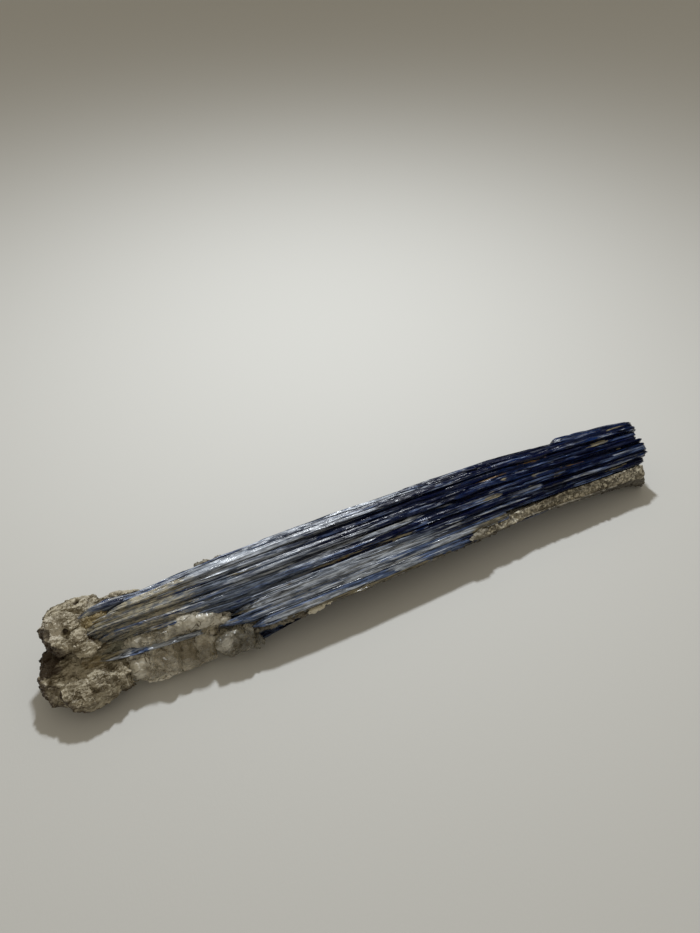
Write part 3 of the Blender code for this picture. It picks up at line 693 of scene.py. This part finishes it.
def remeshed(mesh, voxel):
    """Points, normals and faces of a bmesh's blocks joined into one closed skin of small squares."""
    data = bpy.data.meshes.new("blocks")
    mesh.to_mesh(data)
    mesh.free()
    holder = bpy.data.objects.new("blocks", data)
    bpy.context.scene.collection.objects.link(holder)
    joiner = holder.modifiers.new("join", "REMESH")
    joiner.mode = "VOXEL"
    joiner.voxel_size = voxel
    graph = bpy.context.evaluated_depsgraph_get()
    skin = bpy.data.meshes.new_from_object(holder.evaluated_get(graph))
    count = len(skin.vertices)
    points = np.empty(count * 3)
    normals = np.empty(count * 3)
    skin.vertices.foreach_get("co", points)
    skin.vertices.foreach_get("normal", normals)
    faces = [tuple(p.vertices) for p in skin.polygons]
    bpy.data.objects.remove(holder)
    bpy.data.meshes.remove(skin)
    return points.reshape(-1, 3), normals.reshape(-1, 3), faces


def pile(stones, seed, node=None, share=1.0):
    """Blocks joined into one skin, round a CAD node's shape if one is given, scaled by share."""
    dice = np.random.default_rng(seed)
    mesh = bmesh.new()
    if node:
        mesh.from_mesh(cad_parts[node].data)
        bmesh.ops.remove_doubles(mesh, verts=mesh.verts, dist=0.02 * MM)
        bmesh.ops.scale(mesh, vec=(1.0 / MM,) * 3, verts=mesh.verts)
        middle = sum((v.co for v in mesh.verts), Vector()) / len(mesh.verts)
        middle.z = 0.0
        for vert in mesh.verts:
            vert.co = middle + (vert.co - middle) * share
    for centre, radii, corners in stones:
        block(mesh, centre, radii, corners, dice)
    return remeshed(mesh, FINE)


def pushed(points, normals, amount):
    """Points moved along their normals, but not below the table."""
    moved = points + normals * np.asarray(amount)[:, None]
    moved[:, 2] = np.where(points[:, 2] < 0.6, np.maximum(moved[:, 2], 0.0), np.maximum(moved[:, 2], 0.05))
    return moved


def near(points, centre, radii):
    """1 in the middle of an ellipsoid, 0 outside it."""
    reach = np.linalg.norm((points - np.array(centre)) / np.array(radii), axis=1)
    return 1.0 - ease(reach, 0.45, 1.0)


def scattered(points, normals, count, seed, long, short):
    """Random blocks sunk into a skin: long and short are the ranges of their reach along X and across it."""
    dice = np.random.default_rng(seed)
    found = []
    for i in dice.integers(0, len(points), count):
        radii = (dice.uniform(*long), dice.uniform(*short), dice.uniform(*short))
        centre = points[i] - normals[i] * dice.uniform(0.80, 1.04) * np.linalg.norm(normals[i] * radii)
        found.append((tuple(centre), radii, int(dice.integers(9, 15))))
    return found


HEAD_STONES = [                                  # middle, radii and corners of each joined block
    ((-130.0, 12.0, 24.2), (11.8, 8.8, 10.4), 46), ((-135.4, 11.0, 21.8), (7.0, 7.6, 8.6), 34),
    ((-125.0, 14.0, 26.6), (9.5, 6.4, 8.6), 44), ((-111.0, 13.0, 27.4), (14.0, 2.2, 5.6), 44),
    ((-131.5, 6.0, 24.2), (8.6, 6.0, 6.8), 34), ((-127.0, 3.6, 25.4), (6.2, 4.4, 5.2), 30),
    ((-126.0, 0.4, 22.6), (6.4, 3.8, 4.2), 26), ((-118.0, 3.0, 17.0), (12.0, 8.0, 5.5), 34),
    ((-133.5, 3.0, 16.6), (9.6, 7.4, 5.2), 34), ((-120.0, -2.0, 16.8), (8.5, 3.0, 2.4), 24),
    ((-139.5, 3.6, 15.6), (5.6, 7.0, 5.4), 34), ((-120.5, 8.6, 27.0), (9.0, 5.0, 5.4), 40),
    ((-131.0, -3.5, 9.4), (12.6, 13.2, 9.4), 50), ((-139.0, -0.6, 8.8), (8.4, 11.0, 8.6), 40),
    ((-124.5, -6.5, 9.4), (8.6, 9.6, 9.0), 40), ((-116.6, -6.4, 9.0), (4.2, 7.6, 8.0), 28),
    ((-128.0, 5.0, 8.0), (14.0, 10.0, 8.0), 40), ((-123.0, -1.6, 13.4), (10.5, 6.4, 5.8), 34),
    ((-113.5, -1.0, 15.4), (9.5, 4.2, 3.8), 28),
]


FRONT_PIT = (-131.0, 5.4, 30.4)                  # middles of the two pits in the upper lobe
BACK_PIT, BACK_PIT_RADII = (-124.8, 14.6, 34.0), (1.9, 1.7, 2.6)


def head():
    """Matrix at the left end: joined blocks with flaky plates, two pits and patches of colour, partly painted
    shade on faces turned from the lamp, near the table, in the left groove and in the pits.
    """
    points, normals, _ = pile(HEAD_STONES, 5)
    stones = scattered(points, normals, 240, 43, (1.6, 5.4), (0.8, 2.2))
    stones = [stone for stone in stones if stone[0][2] < 22.0 or -141.0 < stone[0][0] < -127.0]
    points, normals, faces = pile(HEAD_STONES + stones, 5)
    x, y, z = points.T
    upper = ease(z - 0.25 * y, 16.0, 21.0)
    plates = rough_noise(101, 3, x / 8.0, (y * 0.6 + z) / 0.8, y / 2.4) - 0.5
    lump = (rough_noise(151, 2, x / 9.0, y / 9.0, z / 9.0) - 0.5) * 1.4
    amount = 1.1 * upper * plates + facets(points, 3.4, 131) * 0.75 + facets(points, 1.4, 141) * 0.34 + lump
    amount = amount - 0.7 * near(points, (-145.0, 4.0, 17.6), (6.0, 9.0, 2.4))
    amount = amount + facets(points, 0.8, 161) * 0.28
    amount = amount - 1.0 * near(points, FRONT_PIT, (1.5, 0.8, 3.0))
    amount = amount - 1.9 * near(points, BACK_PIT, BACK_PIT_RADII)
    amount = amount - 1.0 * near(points, (-119.8, -9.0, 14.0), (1.4, 9.0, 9.0))
    moved = pushed(points, normals, amount)
    # partly a real dark brownish stain, partly painted shade: faces turned left, forward or down, away from
    # the lamp, are darkened, and so are the patches in the groove on the left
    turned_from_lamp = ease(-normals[:, 0] - 0.35 * normals[:, 1] - 0.3 * normals[:, 2], -0.10, 0.80)
    brown_and_shade = 0.60 * turned_from_lamp * ease(-x, 124.0, 138.0) + 0.5 * ease(-normals[:, 2], 0.0, 0.8)
    brown_and_shade = brown_and_shade + 0.75 * near(points, (-139.0, 4.5, 18.0), (8.0, 9.0, 5.0)) - 0.3 * ease(z, 27.0, 33.0)
    brown_and_shade = brown_and_shade + 0.65 * near(points, (-122.5, 2.5, 27.5), (2.4, 5.0, 4.5))
    brown_and_shade = brown_and_shade + 0.7 * near(points, (-141.0, 5.5, 16.0), (9.0, 9.0, 4.0))
    # painted shade: darker towards the bottom near the table, and in the two pits
    brown_and_shade = brown_and_shade + 0.55 * (1.0 - ease(z, 1.0, 8.0))
    brown_and_shade = np.minimum(brown_and_shade, 0.72) + 0.6 * near(points, FRONT_PIT, (1.5, 0.9, 3.0))
    brown_and_shade = brown_and_shade + 1.2 * near(points, BACK_PIT, BACK_PIT_RADII)
    pale = near(points, (-137.0, 8.0, 31.0), (9.0, 8.0, 7.0))
    pale = 0.8 * (pale + near(points, (-131.8, 4.0, 25.0), (7.0, 5.0, 5.0)))
    pale = pale + 0.45 * near(points, (-114.0, 14.0, 33.0), (20.0, 6.0, 6.0))
    pale = pale + 0.40 * near(points, (-132.0, -6.0, 18.0), (12.0, 9.0, 5.0))
    tan = near(points, (-117.0, 6.5, 29.0), (11.0, 5.5, 5.0))
    tan = tan + 0.5 * near(points, (-125.0, -3.0, 18.0), (8.0, 5.0, 4.0))
    green = near(points, (-113.5, -1.5, 18.0), (12.0, 5.5, 4.5))
    blue = 0.30 * ease(x, -130.0, -116.0) * ease(z, 26.0, 31.0)
    blue = blue + 0.46 * near(points, (-113.0, -0.9, 21.5), (8.0, 1.3, 1.8))
    piece = new_piece("head_matrix", moved, faces, MICA,
                      {"brown_and_shade": brown_and_shade, "pale": pale, "tan": tan, "green": green, "blue": blue,
                       # painted shade where the skin is pushed in more than 1.1 mm
                       "painted_hollow_shade": ease(-amount, 1.1, 1.9)}, 32.0)
    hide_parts("matrix_head")


QUARTZ_BLOCKS = [                                # a lower row, then the lumps above the thin blade
    ((-108.5, -5.8, 9.2), (6.2, 7.4, 8.0), 40), ((-99.0, -7.2, 8.8), (6.4, 8.2, 8.6), 44),
    ((-91.0, -7.0, 9.4), (5.6, 8.0, 8.4), 40), ((-84.4, -6.8, 10.0), (4.8, 7.0, 7.6), 36),
    ((-111.5, -3.0, 15.0), (4.4, 4.0, 4.6), 20), ((-105.0, -2.4, 18.6), (7.4, 3.9, 5.0), 44),
    ((-97.0, -2.6, 20.2), (8.6, 4.5, 5.2), 50), ((-88.5, -3.2, 21.2), (8.6, 4.5, 4.8), 50),
    ((-81.5, -4.4, 20.6), (7.4, 4.1, 4.7), 40), ((-75.5, -6.0, 18.8), (5.6, 2.8, 3.6), 24),
    ((-92.0, -4.5, 15.0), (14.0, 3.0, 4.0), 24), ((-80.0, -6.0, 13.0), (3.4, 4.6, 5.0), 18),
]
KNOB_BLOCKS = [
    ((-75.4, -12.0, 10.5), (5.0, 5.0, 6.4), 22), ((-67.0, -13.2, 10.5), (4.8, 4.8, 6.4), 22),
    ((-70.0, -12.0, 13.5), (6.4, 4.2, 4.0), 20), ((-70.5, -14.6, 8.0), (5.8, 3.2, 3.8), 20),
]


def broken_quartz(name, node, blocks, seed, material):
    """Lump of quartz round a CAD node, broken into facets of three sizes."""
    points, normals, faces = pile(blocks, seed, node, 0.84)
    amount = facets(points, 8.0, seed + 1) * 1.0 + facets(points, 2.8, seed + 2) * 0.34
    amount = amount + facets(points, 1.1, seed + 3) * 0.13 + 0.1
    x, _, z = points.T
    milky = 0.02 - 0.09 * ease(x, -100.0, -88.0) * (1.0 - ease(z, 15.0, 19.0))
    piece = new_piece(name, pushed(points, normals, amount), faces, material, {"milky": milky}, 24.0)
    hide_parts(node)


def scraps(name, stones, seed, pale, material=None):
    """Small lumps of crust that stick to the outside."""
    points, normals, faces = pile(stones, seed)
    amount = facets(points, 1.6, seed + 1) * 0.6 + facets(points, 0.7, seed + 2) * 0.25
    new_piece(name, pushed(points, normals, amount), faces, material or GRANULAR,
              {"pale": np.full(len(points), pale), "painted_hollow_shade": np.zeros(len(points))}, 35.0)


def crust(name, node, seed, swell, size, worn=0.0, painted_top_light=0.0):
    """Granular layer on a CAD node, grown by swell; worn lowers its top where X is 62 to 138; the last
    argument paints light on faces turned up, making them paler, and faces turned down and gaps between grains
    get painted shade.
    """
    points, normals, faces = pile([], seed, node)
    nearest, _, _, number = grains(points, size, seed)
    knobs = (0.55 - nearest) * 0.16 + facets(points, size * 3.5, seed + 5) * 0.75
    low = ease(-normals[:, 2], 0.5, 0.9)
    amount = swell + knobs * (1.0 - low * 0.9)
    x = points[:, 0]
    facing_up = ease(normals[:, 2], 0.1, 0.7)
    amount = amount - worn * facing_up * ease(x, 62.0, 84.0) * (1.0 - ease(x, 105.0, 138.0))
    # painted light: the last argument makes faces turned up paler
    pale = number * 0.5 + painted_top_light * ease(normals[:, 2], 0.15, 0.50)
    # painted shade between grains and on faces turned down
    painted_hollow_shade = 0.35 * ease(nearest, 0.66, 0.90) + 0.60 * ease(-normals[:, 2], -0.35, 0.30)
    piece = new_piece(name, pushed(points, normals, amount), faces, GRANULAR,
                      {"pale": pale, "painted_hollow_shade": painted_hollow_shade}, 40.0)
    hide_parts(node)


# ---------------------------------------------------------------- the object

BLADES = {                      # seed, laths across the top, then anything out of the ordinary
    "top_blade_1": dict(seed=11, laths=2, back=5, loose=22),
    "top_blade_2": dict(seed=23, laths=2, loose=22),
    "top_blade_3": dict(seed=35, laths=2, loose=18),
    "top_blade_4": dict(seed=47, laths=2, loose=18),
    "top_blade_5": dict(seed=59, laths=3, loose=12),
    "top_blade_6": dict(seed=61, laths=2, loose=18),
    "top_blade_7": dict(seed=73, laths=2, loose=18),
    "top_blade_8": dict(seed=85, laths=1, loose=12),
    "top_blade_9": dict(seed=97, laths=1, loose=12),
    "top_blade_10": dict(seed=109, laths=3, front=4, loose=20),
    "front_blade_1": dict(seed=121, laths=3, tip=0.1, loose=16),
    "front_blade_2": dict(seed=133, laths=3, front=4, tip=0.15, loose=14),
    "rear_blade": dict(seed=145, laths=3, back=5, loose=5),
    "thin_blade": dict(seed=157, laths=1, height=0.1, wave=0.1),
    "middle_blade_back": dict(seed=169, laths=4, back=5),
    "middle_blade_front": dict(seed=171, laths=4, front=3),
    "under_blade_1": dict(seed=183, laths=3, back=4),
    "under_blade_2": dict(seed=195, laths=3),
    "under_blade_3": dict(seed=207, laths=3),
    "under_blade_4": dict(seed=219, laths=3, front=4),
}
for blade_name, options in BLADES.items():
    blade(blade_name, **options)
head()
broken_quartz("smoky_quartz_mass", "quartz_mass", QUARTZ_BLOCKS, 31, SMOKY)
broken_quartz("clear_quartz_knob", "quartz_knob", KNOB_BLOCKS, 57, CLEAR)
crust("edge_strip", "edge_matrix", 71, 0.0, 0.8, 1.8, 0.28)
crust("tan_seam", "seam_layer", 83, 0.55, 0.8)
scraps("pale_crust", [((-38.4, -14.8, 13.9), (5.2, 1.6, 1.8), 16),
                      ((-33.4, -14.4, 14.8), (3.4, 1.3, 1.3), 12)], 91, 1.0)
scraps("ledge_crust", [((-57.0, -13.2, 12.6), (5.6, 1.7, 1.7), 18),
                       ((-50.0, -14.2, 13.2), (5.2, 1.5, 1.6), 18),
                       ((-43.6, -14.8, 13.9), (4.0, 1.3, 1.4), 16)], 89, 0.12)
scraps("yellow_crust", [((41.6, -12.0, 16.9), (4.8, 1.9, 1.7), 16),
                        ((45.5, -10.8, 17.8), (3.4, 1.6, 1.3), 12)], 93, 0.45)
scraps("back_scrap", [((-75.0, 13.9, 31.4), (5.2, 1.4, 1.0), 18), ((-69.0, 13.6, 31.9), (3.6, 1.0, 0.7), 14)],
       95, 0.2)
scraps("knob_rim", [((-63.2, -14.6, 10.6), (1.5, 3.0, 3.6), 16), ((-64.6, -17.2, 8.6), (2.0, 1.8, 2.4), 14),
                    ((-62.2, -16.0, 7.0), (1.4, 1.6, 2.0), 12)], 97, 0.0, CLEAR)


# ---------------------------------------------------------------- stage, light and camera

def stage():
    """Plain pale sheet of paper: one colour all over, with a fine weave as relief only."""
    reach = 3.0                                  # metres from the middle to each edge
    corners = [(-reach, -reach, 0), (reach, -reach, 0), (reach, reach, 0), (-reach, reach, 0)]
    mesh = bpy.data.meshes.new("floor")
    mesh.from_pydata(corners, [], [(0, 1, 2, 3)])
    floor = bpy.data.objects.new("floor", mesh)
    bpy.context.scene.collection.objects.link(floor)
    s = Shader("floor_paper")
    weave = s.math("ADD", s.noise((420.0, 1100.0, 1.0), 1.0, 3.0), s.noise((1100.0, 420.0, 1.0), 5.0, 3.0))
    mesh.materials.append(s.finish(rgb(0.560, 0.560, 0.545), 0.8, weave, 0.05, 0.4))


def lights():
    """One round lamp above and behind, and a warm fill from all sides."""
    lamp = bpy.data.lights.new("key", "AREA")
    lamp.shape = "DISK"
    lamp.size = 44 * MM
    lamp.energy = 2.35
    lamp.color = (0.925, 0.965, 1.0)
    key = bpy.data.objects.new("key", lamp)
    key.location = (76.0 * MM, 268.0 * MM, 480.0 * MM)
    key.rotation_euler = (-key.location).to_track_quat("-Z", "Y").to_euler()
    bpy.context.scene.collection.objects.link(key)
    world = bpy.data.worlds.new("soft_fill")
    world.use_nodes = True
    background = world.node_tree.nodes["Background"]
    background.inputs["Color"].default_value = rgb(1.0, 0.91, 0.74)
    background.inputs["Strength"].default_value = 0.40
    world.cycles_visibility.glossy = False
    bpy.context.scene.world = world
    bpy.context.scene.view_settings.view_transform = "Standard"


def camera():
    """Viewer in front of the left half, looking 45 degrees down."""
    data = bpy.data.cameras.new("camera")
    data.lens = 27.0
    data.sensor_width = 36.0
    viewer = bpy.data.objects.new("camera", data)
    viewer.location = (-93.75 * MM, -168.35 * MM, 260.0 * MM)
    viewer.rotation_euler = (math.radians(45.0), 0.0, math.radians(-24.95))
    bpy.context.scene.collection.objects.link(viewer)
    bpy.context.scene.camera = viewer


stage()
lights()
camera()
